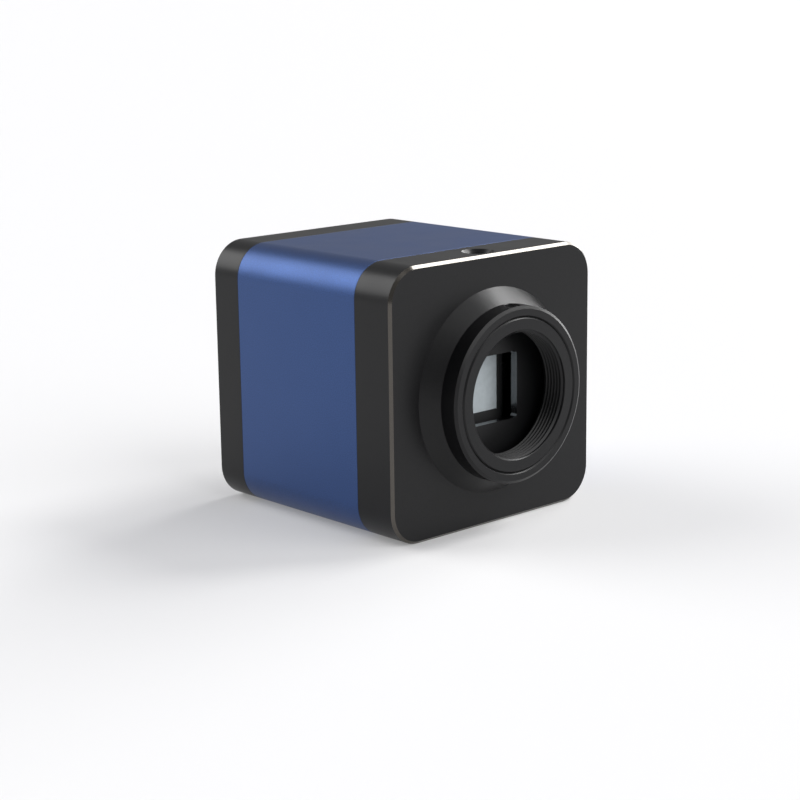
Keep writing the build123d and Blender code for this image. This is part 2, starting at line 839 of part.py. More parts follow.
with BuildPart() as power_jack_pin:
    with BuildSketch(across(socket_mouth_y - jack_pin_setback)):
        with Locations((jack_x, jack_z)):
            Circle(jack_pin_radius)
    extrude(amount=jack_bore_depth - jack_pin_setback)
power_jack_pin.part.label = "power_jack_pin"
export_step(power_jack_pin.part, "parts/power_jack_pin.step")

# Memory card socket: moulded frame, open below, closed by its sheet cover
card_frame_height = card_roof + card_slot_height
card_length = card_slot_depth + card_back
with BuildPart() as card_socket_body:
    with BuildSketch(Plane.XY.offset(board_bottom_z)):
        with Locations((card_x, main_board_rear_y)):
            Rectangle(card_width, card_length, align=(Align.CENTER, Align.MAX))
    extrude(amount=-card_frame_height)
    with BuildSketch(Plane.XY.offset(board_bottom_z - card_roof)):
        with Locations((card_x, main_board_rear_y)):
            Rectangle(card_slot_width, card_slot_depth, align=(Align.CENTER, Align.MAX))
    extrude(amount=-card_slot_height, mode=Mode.SUBTRACT)
card_socket_body.part.label = "card_socket_body"
export_step(card_socket_body.part, "parts/card_socket_body.step")

with BuildPart() as card_socket_shell:
    with BuildSketch(Plane.XY.offset(board_bottom_z - card_frame_height)):
        with Locations((card_x, main_board_rear_y)):
            Rectangle(card_width, card_length, align=(Align.CENTER, Align.MAX))
    extrude(amount=-card_cover)
card_socket_shell.part.label = "card_socket_shell"
export_step(card_socket_shell.part, "parts/card_socket_shell.step")

# Power button: cap with a flange behind the panel, plunger, and the switch body it presses into
flange_rear_y = rear_panel_y - button_flange_gap
plunger_rear_y = flange_rear_y - button_flange_thickness
plunger_tip_y = plunger_rear_y - plunger_length
switch_face_y = plunger_tip_y + plunger_insertion
with BuildPart() as power_button:
    with BuildSketch(across(rear_face_y + button_proud)):
        with Locations((button_x, button_z)):
            Circle(button_radius)
    extrude(amount=button_proud + rear_panel + button_flange_gap)
    chamfer(power_button.faces().sort_by(Axis.Y)[-1].edges(), button_edge)
    with BuildSketch(across(flange_rear_y)):
        with Locations((button_x, button_z)):
            Circle(button_flange_radius)
    extrude(amount=button_flange_thickness)
power_button.part.label = "power_button"
export_step(power_button.part, "parts/power_button.step")

with BuildPart() as switch_plunger:
    with BuildSketch(across(plunger_rear_y)):
        with Locations((button_x, button_z)):
            Circle(plunger_radius)
    extrude(amount=plunger_length)
switch_plunger.part.label = "switch_plunger"
export_step(switch_plunger.part, "parts/switch_plunger.step")

with BuildPart() as power_switch:
    with BuildSketch(across(switch_face_y)):
        with Locations((button_x, board_bottom_z)):
            Rectangle(switch_width, button_drop + switch_half_height, align=(Align.CENTER, Align.MAX))
    extrude(amount=switch_depth)
    with BuildSketch(across(switch_face_y)):
        with Locations((button_x, button_z)):
            Circle(plunger_radius + plunger_clearance)
    extrude(amount=plunger_insertion + button_travel + plunger_clearance, mode=Mode.SUBTRACT)
power_switch.part.label = "power_switch"
export_step(power_switch.part, "parts/power_switch.step")

# Status light: round lamp in its moulded right-angle holder
led_holder_rear_y = rear_panel_y - board_end_gap - led_flange_thickness
with BuildPart() as status_led:
    with BuildSketch(across(rear_face_y)):
        with Locations((led_x, led_z)):
            Circle(led_radius)
    extrude(amount=rear_face_y - led_holder_rear_y)
    with BuildSketch(across(led_holder_rear_y + led_flange_thickness)):
        with Locations((led_x, led_z)):
            Circle(led_flange_radius)
    extrude(amount=led_flange_thickness)
status_led.part.label = "status_led"
export_step(status_led.part, "parts/status_led.step")

with BuildPart() as led_holder:
    with BuildSketch(across(led_holder_rear_y)):
        with Locations((led_x, board_bottom_z)):
            Rectangle(led_holder_width, led_drop + led_holder_half_height, align=(Align.CENTER, Align.MAX))
    extrude(amount=led_holder_depth)
led_holder.part.label = "led_holder"
export_step(led_holder.part, "parts/led_holder.step")
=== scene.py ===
"""Dresses the microscope camera: threads, screws, contacts, finishes, floor, lamps and the view."""

import json
import math

import bmesh
import bpy
from mathutils import Euler, Matrix, Vector


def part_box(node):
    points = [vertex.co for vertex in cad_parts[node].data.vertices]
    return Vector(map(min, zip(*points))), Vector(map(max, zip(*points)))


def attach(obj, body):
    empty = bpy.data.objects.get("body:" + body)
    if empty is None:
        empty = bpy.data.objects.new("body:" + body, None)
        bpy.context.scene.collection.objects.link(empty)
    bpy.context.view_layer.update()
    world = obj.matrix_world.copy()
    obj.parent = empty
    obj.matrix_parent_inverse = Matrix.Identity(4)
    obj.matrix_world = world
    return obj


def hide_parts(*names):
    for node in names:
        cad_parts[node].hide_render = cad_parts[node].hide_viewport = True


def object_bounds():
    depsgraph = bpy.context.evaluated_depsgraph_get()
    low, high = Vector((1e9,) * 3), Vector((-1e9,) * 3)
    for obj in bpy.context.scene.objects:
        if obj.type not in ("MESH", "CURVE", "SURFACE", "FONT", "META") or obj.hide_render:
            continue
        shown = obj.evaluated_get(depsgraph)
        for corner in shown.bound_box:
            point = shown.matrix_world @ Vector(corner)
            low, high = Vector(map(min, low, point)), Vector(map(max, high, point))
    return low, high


bl_info = {
    "name": "Microscope Camera Dressing",
    "version": (1, 0, 0),
    "blender": (4, 5, 0),
    "location": "View3D > Sidebar > Camera",
    "description": "Builds the threads, screws, socket contacts and finishes of a microscope camera",
    "category": "Object",
}

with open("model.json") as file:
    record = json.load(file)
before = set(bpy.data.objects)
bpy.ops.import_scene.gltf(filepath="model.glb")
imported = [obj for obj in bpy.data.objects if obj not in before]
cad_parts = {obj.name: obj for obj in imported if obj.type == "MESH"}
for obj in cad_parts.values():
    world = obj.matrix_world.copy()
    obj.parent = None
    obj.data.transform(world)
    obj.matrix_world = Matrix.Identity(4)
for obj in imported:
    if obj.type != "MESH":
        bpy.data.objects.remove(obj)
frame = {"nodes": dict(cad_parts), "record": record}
CAD_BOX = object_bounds()
MM = 0.001
MERGE = 0.001 * MM
CUT_WIDTH = 1e-9

RING_LOW, RING_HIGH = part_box("c_mount_ring")
LOCK_LOW, LOCK_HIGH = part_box("ring_lock_screw")
SCREWS_LOW, SCREWS_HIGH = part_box("housing_screws")
BUTTON_LOW, BUTTON_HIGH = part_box("power_button")
LED_LOW, LED_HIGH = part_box("status_led")
PIN_LOW, PIN_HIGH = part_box("power_jack_pin")
VIDEO_LOW, VIDEO_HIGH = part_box("video_shell")
DATA_LOW, DATA_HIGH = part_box("data_shell")
HOUSING_LOW, HOUSING_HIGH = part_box("front_housing")
SLOT_OF_NODE = {part["node"]: part["material_slot"] for part in frame["record"]["subparts"]}


def linear(hex_colour):
    """Turns an sRGB hex colour into the linear colour that a shader takes."""
    channels = [int(hex_colour[i : i + 2], 16) / 255 for i in (1, 3, 5)]
    bent = [c / 12.92 if c <= 0.04045 else ((c + 0.055) / 1.055) ** 2.4 for c in channels]
    return (*bent, 1.0)


def add_node(tree, kind, inputs=None, **settings):
    """Adds one shader node, with its settings, its input values and its links."""
    made = tree.nodes.new(kind)
    for name, value in settings.items():
        setattr(made, name, value)
    for socket, value in (inputs or {}).items():
        if isinstance(value, bpy.types.NodeSocket):
            tree.links.new(value, made.inputs[socket])
        else:
            made.inputs[socket].default_value = value
    return made


def new_tree(name):
    """A material with an empty node tree."""
    material = bpy.data.materials.new(name)
    material.use_nodes = True
    material.node_tree.nodes.clear()
    return material, material.node_tree


def close_tree(tree, shader):
    """Links a finished shader to the material's output."""
    add_node(tree, "ShaderNodeOutputMaterial", {"Surface": shader})


def grained(name, dark, light, grain_mm, depth_mm, roughness, spread, sockets, patch_mm=9.0):
    """A surface with fine grain: its colour and roughness drift a little, and the grain is bump."""
    material, tree = new_tree(name)
    place = add_node(tree, "ShaderNodeTexCoord").outputs["Object"]
    fine = add_node(
        tree, "ShaderNodeTexNoise", {"Vector": place, "Scale": 1 / (grain_mm * MM), "Detail": 3.0}
    )
    broad = add_node(
        tree, "ShaderNodeTexNoise", {"Vector": place, "Scale": 1 / (patch_mm * MM), "Detail": 2.0}
    )
    blend = add_node(
        tree, "ShaderNodeMapRange",
        {"Value": fine.outputs["Fac"], "From Min": 0.3, "From Max": 0.7},
    )
    tone = add_node(
        tree, "ShaderNodeMix", {"Factor": blend.outputs["Result"], "A": linear(dark), "B": linear(light)},
        data_type="RGBA",
    )
    rough = add_node(
        tree, "ShaderNodeMapRange",
        {
            "Value": broad.outputs["Fac"], "From Min": 0.3, "From Max": 0.7,
            "To Min": roughness - spread, "To Max": roughness + spread,
        },
    )
    bump = add_node(
        tree, "ShaderNodeBump",
        {"Strength": 1.0, "Distance": depth_mm * MM, "Height": fine.outputs["Fac"]},
    )
    shader = add_node(
        tree, "ShaderNodeBsdfPrincipled",
        {
            "Base Color": tone.outputs["Result"], "Roughness": rough.outputs["Result"],
            "Normal": bump.outputs["Normal"], **sockets,
        },
    )
    close_tree(tree, shader.outputs["BSDF"])
    return material


def black_anodised():
    """Bead-blasted black anodised aluminium: dark, with a soft satin sheen and a just visible grain."""
    return grained(
        "Bead-blasted black anodised aluminium", "#131314", "#181819", 0.22, 0.004, 0.35, 0.02,
        {"Metallic": 0.0, "Specular IOR Level": 0.24},
    )


def blue_anodised():
    """Bead-blasted blue anodised aluminium: metal shows through the dye as a blue glow on the corners."""
    return grained(
        "Bead-blasted blue anodised aluminium", "#264172", "#2F4F87", 0.22, 0.004, 0.46, 0.02,
        {"Metallic": 0.9, "Coat Weight": 0.38, "Coat Roughness": 0.42},
    )


def bright_cut_edge():
    """Edge cut bright with a diamond tool after anodising: bare aluminium, sharp in its reflections."""
    return grained(
        "Diamond-cut bare aluminium edge", "#54514D", "#5D5A56", 0.10, 0.0006, 0.20, 0.03, {"Metallic": 1.0}
    )


def machined_window():
    """Milled wall of the sensor window: dark dyed metal, smooth enough to mirror the filter."""
    return grained(
        "Milled dyed aluminium window wall", "#646567", "#6E7072", 0.10, 0.0006, 0.22, 0.03, {"Metallic": 1.0}
    )


def black_oxide_steel():
    """Black oxide on turned steel: darker than the housing, a little oily."""
    return grained(
        "Black oxide turned steel", "#242425", "#2E2E30", 0.12, 0.002, 0.34, 0.03,
        {"Metallic": 0.8, "Specular IOR Level": 0.5},
    )


def turned_steel():
    """Bright nickel-plated steel, turned: grey and fairly sharp in its reflections."""
    return grained(
        "Nickel-plated turned steel", "#A9A9A8", "#C2C1BE", 0.10, 0.001, 0.26, 0.04, {"Metallic": 1.0}
    )


def tinned_sheet():
    """Tin-plated pressed sheet: bright, with cloudy patches from the plating bath."""
    return grained(
        "Tin-plated pressed steel sheet", "#9F9E9B", "#BEBDB9", 0.35, 0.001, 0.30, 0.07,
        {"Metallic": 1.0}, patch_mm=2.5,
    )


def gold_flash():
    """Gold flash on contact springs."""
    return grained(
        "Gold-flashed contact bronze", "#C79B4A", "#D9B15E", 0.10, 0.001, 0.28, 0.03, {"Metallic": 1.0}
    )


def moulded_black():
    """Glass-filled black nylon, moulded: matt, with the fine spark texture of its tool."""
    return grained(
        "Moulded black nylon", "#222223", "#2A2A2B", 0.16, 0.006, 0.62, 0.04, {"Specular IOR Level": 0.4}
    )


def ceramic_package():
    """Dark alumina ceramic, pressed and fired."""
    return grained(
        "Fired black alumina", "#333338", "#3D3D42", 0.08, 0.002, 0.55, 0.04, {"Specular IOR Level": 0.5}
    )


def cream_nylon():
    """Cream moulded nylon of board connectors."""
    return grained(
        "Moulded cream nylon", "#DCD6C2", "#E6E1D0", 0.30, 0.003, 0.48, 0.04, {"Specular IOR Level": 0.5}
    )


def silicone_seal():
    """Black silicone rubber seal."""
    return grained(
        "Moulded black silicone", "#1A1A1A", "#212121", 0.20, 0.004, 0.75, 0.04, {"Specular IOR Level": 0.3}
    )


def gap_pad():
    """Grey-blue filled silicone pad, soft and matt."""
    return grained(
        "Filled silicone gap pad", "#7C8A96", "#8B98A3", 0.25, 0.010, 0.80, 0.04, {"Specular IOR Level": 0.3}
    )


def black_heat_sink():
    """Extruded aluminium, black anodised."""
    return grained(
        "Extruded black anodised heat sink", "#1B1B1D", "#242426", 0.30, 0.004, 0.45, 0.04,
        {"Metallic": 0.3, "Specular IOR Level": 0.5},
    )


def solder_mask():
    """Black solder mask over glass cloth: the weave shows as a faint check under the lacquer."""
    material, tree = new_tree("Black solder mask on glass fibre board")
    place = add_node(tree, "ShaderNodeTexCoord").outputs["Object"]
    weave = add_node(tree, "ShaderNodeTexChecker", {"Vector": place, "Scale": 1 / (0.8 * MM)})
    weave.inputs["Color1"].default_value = linear("#101112")
    weave.inputs["Color2"].default_value = linear("#17181A")
    grain = add_node(tree, "ShaderNodeTexNoise", {"Vector": place, "Scale": 1 / (0.5 * MM), "Detail": 2.0})
    bump = add_node(
        tree, "ShaderNodeBump", {"Strength": 0.5, "Distance": 0.01 * MM, "Height": grain.outputs["Fac"]}
    )
    shader = add_node(
        tree, "ShaderNodeBsdfPrincipled",
        {
            "Base Color": weave.outputs["Color"], "Roughness": 0.32, "Specular IOR Level": 0.5,
            "Coat Weight": 0.4, "Coat Roughness": 0.12, "Normal": bump.outputs["Normal"],
        },
    )
    close_tree(tree, shader.outputs["BSDF"])
    return material


def chip_moulding():
    """Black epoxy moulding of the chips, finely matt."""
    return grained(
        "Moulded epoxy chip body", "#1D1D1E", "#262627", 0.12, 0.003, 0.58, 0.03, {"Specular IOR Level": 0.5}
    )


def ribbon_film():
    """Pale polyester film of the flat cable, with its copper strips showing as lengthwise lines."""
    strip_spacing = 1.0 * MM
    wave_unit = 2 * math.pi / 20
    material, tree = new_tree("Polyester film flat cable")
    place = add_node(tree, "ShaderNodeTexCoord").outputs["Object"]
    strips = add_node(
        tree, "ShaderNodeTexWave", {"Vector": place, "Scale": wave_unit / strip_spacing, "Distortion": 0.0},
        wave_type="BANDS", bands_direction="X",
    )
    tone = add_node(
        tree, "ShaderNodeMix",
        {"Factor": strips.outputs["Fac"], "A": linear("#C9C8C2"), "B": linear("#E2E2DE")},
        data_type="RGBA",
    )
    shader = add_node(
        tree, "ShaderNodeBsdfPrincipled",
        {"Base Color": tone.outputs["Result"], "Roughness": 0.35, "Specular IOR Level": 0.5},
    )
    close_tree(tree, shader.outputs["BSDF"])
    return material


def filter_glass():
    """Infrared-cut filter: pale blue-grey, milky where light meets its coating, with a polished face."""
    return grained(
        "Coated infrared-cut filter glass", "#CAD3D6", "#D4DDE0", 1.2, 0.0002, 0.16, 0.03,
        {"Specular IOR Level": 0.8, "Coat Weight": 0.3, "Coat Roughness": 0.08}, patch_mm=5.0,
    )


def sensor_glass():
    """Clear cover glass of the sensor."""
    return grained(
        "Polished clear cover glass", "#E4EAEC", "#EEF3F4", 0.50, 0.0005, 0.05, 0.01,
        {"Transmission Weight": 0.9, "IOR": 1.5},
    )


def silicon_die():
    """Silicon with its pixel field: dark violet-brown and glossy."""
    return grained(
        "Polished silicon sensor die", "#352E40", "#443A52", 0.06, 0.0005, 0.18, 0.03,
        {"Metallic": 0.4, "Specular IOR Level": 0.7},
    )


def lamp_lens():
    """Water-clear moulded epoxy lamp, unlit: milky at its core."""
    return grained(
        "Clear moulded epoxy lamp", "#C9D2CC", "#D8E0DB", 0.40, 0.0005, 0.12, 0.02,
        {"Transmission Weight": 0.45, "IOR": 1.5},
    )


MATERIAL_OF_SLOT = {
    "black_anodised": black_anodised,
    "blue_anodised": blue_anodised,
    "black_screw": black_oxide_steel,
    "steel": turned_steel,
    "socket_steel": tinned_sheet,
    "black_plastic": moulded_black,
    "socket_plastic": moulded_black,
    "filter_glass": filter_glass,
    "sensor_glass": sensor_glass,
    "silicone": silicone_seal,
    "ceramic": ceramic_package,
    "silicon": silicon_die,
    "circuit_board": solder_mask,
    "chip_plastic": chip_moulding,
    "connector_plastic": cream_nylon,
    "ribbon": ribbon_film,
    "thermal_pad": gap_pad,
    "sink_aluminium": black_heat_sink,
    "button_plastic": moulded_black,
    "led_lens": lamp_lens,
}
_made = {}


def finish(maker):
    """The one material that a maker makes, made when it is first asked for."""
    if maker not in _made:
        _made[maker] = maker()
    return _made[maker]


def smooth_with_sharp_edges(bm, sharp_degrees=28.0):
    """Shades every face smooth, and keeps the edges that turn more than the given angle sharp."""
    for face in bm.faces:
        face.smooth = True
    for edge in bm.edges:
        if len(edge.link_faces) == 2:
            edge.smooth = edge.calc_face_angle() < math.radians(sharp_degrees)


def finish_piece(bm, name, body, slot, replaced=(), maker=None, recalculate=True):
    """Turns a bmesh into a piece that rides on a body and wears its slot's finish, or a maker's."""
    if recalculate:
        bmesh.ops.recalc_face_normals(bm, faces=bm.faces)
    smooth_with_sharp_edges(bm)
    mesh = bpy.data.meshes.new(name)
    bm.to_mesh(mesh)
    bm.free()
    piece = bpy.data.objects.new(name, mesh)
    bpy.context.scene.collection.objects.link(piece)
    piece.data.materials.append(finish(maker or MATERIAL_OF_SLOT[slot]))
    weighted = piece.modifiers.new("Weighted normals", "WEIGHTED_NORMAL")
    weighted.mode = "FACE_AREA"
    weighted.weight = 100
    weighted.keep_sharp = True
    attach(piece, body)
    if replaced:
        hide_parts(*replaced)
    return piece


def spun_profile(bm, points, axis_point, axis, steps):
    """Turns a profile of points about an axis into a round surface, with its poles merged."""
    verts = [bm.verts.new(point) for point in points]
    edges = [bm.edges.new(pair) for pair in zip(verts, verts[1:])]
    bmesh.ops.spin(
        bm, geom=verts + edges, cent=axis_point, axis=axis, dvec=(0, 0, 0),
        angle=2 * math.pi, steps=steps, use_merge=True, use_duplicate=False,
    )
    bmesh.ops.remove_doubles(bm, verts=bm.verts, dist=MERGE)


def loop_at(bm, test):
    """The open boundary edges whose two ends both pass the test."""
    return [e for e in bm.edges if e.is_boundary and all(test(v.co) for v in e.verts)]


def widen(bm, loop, radius, y):
    """Extrudes a loop round the Y axis to another radius and another y, and returns the new loop."""
    grown = bmesh.ops.extrude_edge_only(bm, edges=loop)["geom"]
    fresh = {v for v in grown if isinstance(v, bmesh.types.BMVert)}
    for vert in fresh:
        here = math.hypot(vert.co.x, vert.co.z)
        vert.co = (vert.co.x * radius / here, y, vert.co.z * radius / here)
    return [e for e in bm.edges if e.verts[0] in fresh and e.verts[1] in fresh]


def threaded_wall(bm, crest, root, pitch, length, steps):
    """A right-handed helical thread along +Y, cut square at y = 0 and at y = length."""
    flat = pitch / 8
    flank = (pitch - 2 * flat) / 2
    turns_before = 1.37
    merge_share = 200
    profile = []
    y = -turns_before * pitch
    while y < length + pitch:
        profile += [(crest, y), (crest, y + flat), (root, y + flat + flank), (root, y + 2 * flat + flank)]
        y += pitch
    verts = [bm.verts.new((0, y, r)) for r, y in profile]
    edges = [bm.edges.new(pair) for pair in zip(verts, verts[1:])]
    bmesh.ops.spin(
        bm, geom=verts + edges, cent=(0, 0, 0), axis=(0, 1, 0), dvec=(0, pitch / steps, 0),
        angle=2 * math.pi, steps=steps, use_merge=False, use_duplicate=False,
    )
    bmesh.ops.remove_doubles(bm, verts=bm.verts, dist=pitch / merge_share)
    for y, normal in ((0.0, (0, -1, 0)), (length, (0, 1, 0))):
        bmesh.ops.bisect_plane(
            bm, geom=bm.verts[:] + bm.edges[:] + bm.faces[:], dist=CUT_WIDTH,
            plane_co=(0, y, 0), plane_no=normal, clear_outer=True,
        )


def spring_leaf(bm, path, width, thickness, place):
    """A bent leaf of sheet metal: its path runs in Y and Z, its width along X, and place moves it home."""
    old = set(bm.verts)
    verts = [bm.verts.new((-width / 2, along, up)) for along, up in path]
    edges = [bm.edges.new(pair) for pair in zip(verts, verts[1:])]
    grown = bmesh.ops.extrude_edge_only(bm, edges=edges)["geom"]
    far_side = [v for v in grown if isinstance(v, bmesh.types.BMVert)]
    bmesh.ops.translate(bm, verts=far_side, vec=(width, 0, 0))
    sheet = [f for f in grown if isinstance(f, bmesh.types.BMFace)]
    bmesh.ops.solidify(bm, geom=sheet, thickness=thickness)
    fresh = [v for v in bm.verts if v not in old]
    bmesh.ops.transform(bm, matrix=place, verts=fresh)


def rounded_end(radius, reach, tip, steps=6):
    """Points (radius, distance) of an end that curves in from a side at reach to a tip on the axis."""
    turns = [math.pi / 2 * i / steps for i in range(steps + 1)]
    return [(radius * math.cos(turn), reach + (tip - reach) * math.sin(turn)) for turn in turns]


class HousingSizes(bpy.types.PropertyGroup):
    """Where the front housing's bright-cut edge and its milled window lie, from the lens flange."""

    front: bpy.props.FloatProperty(
        name="Front face", description="Distance of the housing's front face behind the flange",
        default=6.9 * MM, unit="LENGTH",
    )
    edge_depth: bpy.props.FloatProperty(
        name="Edge depth", description="Depth of the bright-cut edge", default=0.56 * MM, unit="LENGTH",
    )
    edge_reach: bpy.props.FloatProperty(
        name="Edge reach", description="Nothing nearer the axis belongs to the bright-cut edge",
        default=22.0 * MM, unit="LENGTH",
    )
    window_front: bpy.props.FloatProperty(
        name="Window front", description="Where the window's walls start", default=7.65 * MM, unit="LENGTH",
    )
    window_back: bpy.props.FloatProperty(
        name="Window back", description="Where the window's walls end", default=9.35 * MM, unit="LENGTH",
    )
    window_reach: bpy.props.FloatProperty(
        name="Window reach", description="No wall of the window lies further from the axis",
        default=7.2 * MM, unit="LENGTH",
    )


class LensRingSizes(bpy.types.PropertyGroup):
    """Sizes of the threaded ring that a lens screws into."""

    pitch: bpy.props.FloatProperty(
        name="Thread pitch", description="Distance from one turn to the next",
        default=25.4 / 32 * MM, min=0.1 * MM, unit="LENGTH",
    )
    crest_radius: bpy.props.FloatProperty(
        name="Crest radius", description="Bore at the tips of the thread", default=12.3 * MM, unit="LENGTH",
    )
    root_radius: bpy.props.FloatProperty(
        name="Root radius", description="Bore at the bottom of the thread",
        default=12.72 * MM, unit="LENGTH",
    )
    mouth_radius: bpy.props.FloatProperty(
        name="Mouth radius", description="Width of the lead-in at the front face",
        default=12.85 * MM, unit="LENGTH",
    )
    edge: bpy.props.FloatProperty(
        name="Edge chamfer", description="Chamfer on the ring's outer edge",
        default=0.28 * MM, unit="LENGTH",
    )
    steps: bpy.props.IntProperty(
        name="Steps", description="Facets in one turn of the thread", default=144, min=24,
    )


class ScrewSizes(bpy.types.PropertyGroup):
    """Sizes of the socket screws and of the camera thread on top."""

    key_width: bpy.props.FloatProperty(
        name="Key width", description="Across the flats of the hexagon socket",
        default=1.5 * MM, unit="LENGTH",
    )
    key_depth: bpy.props.FloatProperty(
        name="Key depth", description="Depth of the hexagon socket", default=0.9 * MM, unit="LENGTH",
    )
    key_rim: bpy.props.FloatProperty(
        name="Key rim", description="Radius of the round rim that the socket is sunk from",
        default=0.93 * MM, unit="LENGTH",
    )
    set_edge: bpy.props.FloatProperty(
        name="Set screw edge", description="Chamfer at both ends of the set screw",
        default=0.154 * MM, unit="LENGTH",
    )
    set_cup: bpy.props.FloatProperty(
        name="Cup depth", description="Depth of the hollow in the set screw's point",
        default=0.25 * MM, unit="LENGTH",
    )
    set_cup_radius: bpy.props.FloatProperty(
        name="Cup radius", description="Radius of that hollow", default=0.675 * MM, unit="LENGTH",
    )
    head_radius: bpy.props.FloatProperty(
        name="Head radius", description="Radius of a housing screw's head", default=2.2 * MM, unit="LENGTH",
    )
    head_height: bpy.props.FloatProperty(
        name="Head height", description="Height of a housing screw's head", default=1.6 * MM, unit="LENGTH",
    )
    head_edge: bpy.props.FloatProperty(
        name="Head edge", description="Chamfer round a screw head", default=0.22 * MM, unit="LENGTH",
    )
    shank: bpy.props.FloatProperty(
        name="Shank radius", description="Radius of a housing screw's shank",
        default=1.25 * MM, unit="LENGTH",
    )
    top_behind: bpy.props.FloatProperty(
        name="Camera thread place", description="Distance of its axis behind the lens flange",
        default=11.4 * MM, unit="LENGTH",
    )
    top_start: bpy.props.FloatProperty(
        name="Camera thread start", description="Depth at which the turns begin, below the rim's chamfer",
        default=0.75 * MM, unit="LENGTH",
    )
    top_length: bpy.props.FloatProperty(
        name="Camera thread length", description="Length of the cut turns", default=4.6 * MM, unit="LENGTH",
    )
    top_backing: bpy.props.FloatProperty(
        name="Camera thread backing", description="Metal behind the roots, inside the solid's bore",
        default=0.03 * MM, unit="LENGTH",
    )
    top_pitch: bpy.props.FloatProperty(
        name="Camera thread pitch", description="Pitch of the tapped hole on top",
        default=25.4 / 20 * MM, unit="LENGTH",
    )
    top_crest: bpy.props.FloatProperty(
        name="Camera thread crest", description="Bore at the tips of the tapped hole's thread",
        default=2.34 * MM, unit="LENGTH",
    )
    top_root: bpy.props.FloatProperty(
        name="Camera thread root", description="Bore at the bottom of the tapped hole's thread",
        default=2.56 * MM, unit="LENGTH",
    )


class SocketSizes(bpy.types.PropertyGroup):
    """Sizes of the metal inside the rear sockets, of the button's cap and of the lamp."""

    sheet: bpy.props.FloatProperty(
        name="Sheet", description="Thickness of the contact metal", default=0.12 * MM, unit="LENGTH",
    )
    video_inset: bpy.props.FloatProperty(
        name="Video contact inset", description="From the video socket's mouth to its contacts' tips",
        default=1.5 * MM, unit="LENGTH",
    )
    video_base: bpy.props.FloatProperty(
        name="Video base", description="From the back of the video socket to where its tongue starts",
        default=3.0 * MM, unit="LENGTH",
    )
    video_wall: bpy.props.FloatProperty(
        name="Video shell wall", description="Thickness of the video socket's shell",
        default=0.35 * MM, unit="LENGTH",
    )
    video_finger: bpy.props.FloatProperty(
        name="Video finger place", description="From the shell's middle to a spring finger's",
        default=3.1 * MM, unit="LENGTH",
    )
    video_pitch: bpy.props.FloatProperty(
        name="Video contact pitch", description="From one contact of a row to the next",
        default=1.0 * MM, unit="LENGTH",
    )
    video_contact: bpy.props.FloatProperty(
        name="Video contact width", description="Width of one contact", default=0.45 * MM, unit="LENGTH",
    )
    video_tongue_middle: bpy.props.FloatProperty(
        name="Video tongue middle", description="Height of the tongue above the socket's underside",
        default=3.2 * MM, unit="LENGTH",
    )
    video_tongue_half: bpy.props.FloatProperty(
        name="Half video tongue", description="Half the thickness of the tongue",
        default=0.65 * MM, unit="LENGTH",
    )
    data_inset: bpy.props.FloatProperty(
        name="Data contact inset", description="From the data socket's mouth to its contacts' tips",
        default=1.6 * MM, unit="LENGTH",
    )
    data_base: bpy.props.FloatProperty(
        name="Data base", description="From the back of the data socket to where its tongue starts",
        default=3.5 * MM, unit="LENGTH",
    )
    data_wall: bpy.props.FloatProperty(
        name="Data shell wall", description="Thickness of the data socket's shell",
        default=0.30 * MM, unit="LENGTH",
    )
    data_finger: bpy.props.FloatProperty(
        name="Data finger place", description="From the shell's middle to a spring finger's",
        default=3.2 * MM, unit="LENGTH",
    )
    data_near: bpy.props.FloatProperty(
        name="Inner data contact", description="From the tongue's middle to an inner contact's",
        default=1.0 * MM, unit="LENGTH",
    )
    data_far: bpy.props.FloatProperty(
        name="Outer data contact", description="From the tongue's middle to an outer contact's",
        default=3.5 * MM, unit="LENGTH",
    )
    data_contact: bpy.props.FloatProperty(
        name="Data contact width", description="Width of one contact", default=1.0 * MM, unit="LENGTH",
    )
    data_tongue_under: bpy.props.FloatProperty(
        name="Data tongue underside", description="Its height above the socket's underside",
        default=2.68 * MM, unit="LENGTH",
    )
    finger_width: bpy.props.FloatProperty(
        name="Finger width", description="Width of the shell's spring fingers",
        default=1.9 * MM, unit="LENGTH",
    )
    finger_dip: bpy.props.FloatProperty(
        name="Finger dip", description="How far a finger bends into the socket",
        default=0.42 * MM, unit="LENGTH",
    )
    flange: bpy.props.FloatProperty(
        name="Flange", description="Thickness of the hidden flange of the button and of the lamp",
        default=0.8 * MM, unit="LENGTH",
    )
    cap_radius: bpy.props.FloatProperty(
        name="Cap radius", description="Radius of the button's cap", default=2.8 * MM, unit="LENGTH",
    )
    cap_rim: bpy.props.FloatProperty(
        name="Cap rim", description="Rounding of the cap's rim", default=0.3 * MM, unit="LENGTH",
    )
    cap_dish: bpy.props.FloatProperty(
        name="Cap dish", description="Depth of the hollow in the button's face",
        default=0.22 * MM, unit="LENGTH",
    )
    cap_gap: bpy.props.FloatProperty(
        name="Cap gap", description="What the flange gives up to clear the lamp's holder when pressed",
        default=0.1 * MM, unit="LENGTH",
    )
    lamp_radius: bpy.props.FloatProperty(
        name="Lamp radius", description="Radius of the lamp's lens", default=1.5 * MM, unit="LENGTH",
    )
    lamp_dome: bpy.props.FloatProperty(
        name="Lamp dome", description="Height of the lens's dome", default=0.9 * MM, unit="LENGTH",
    )


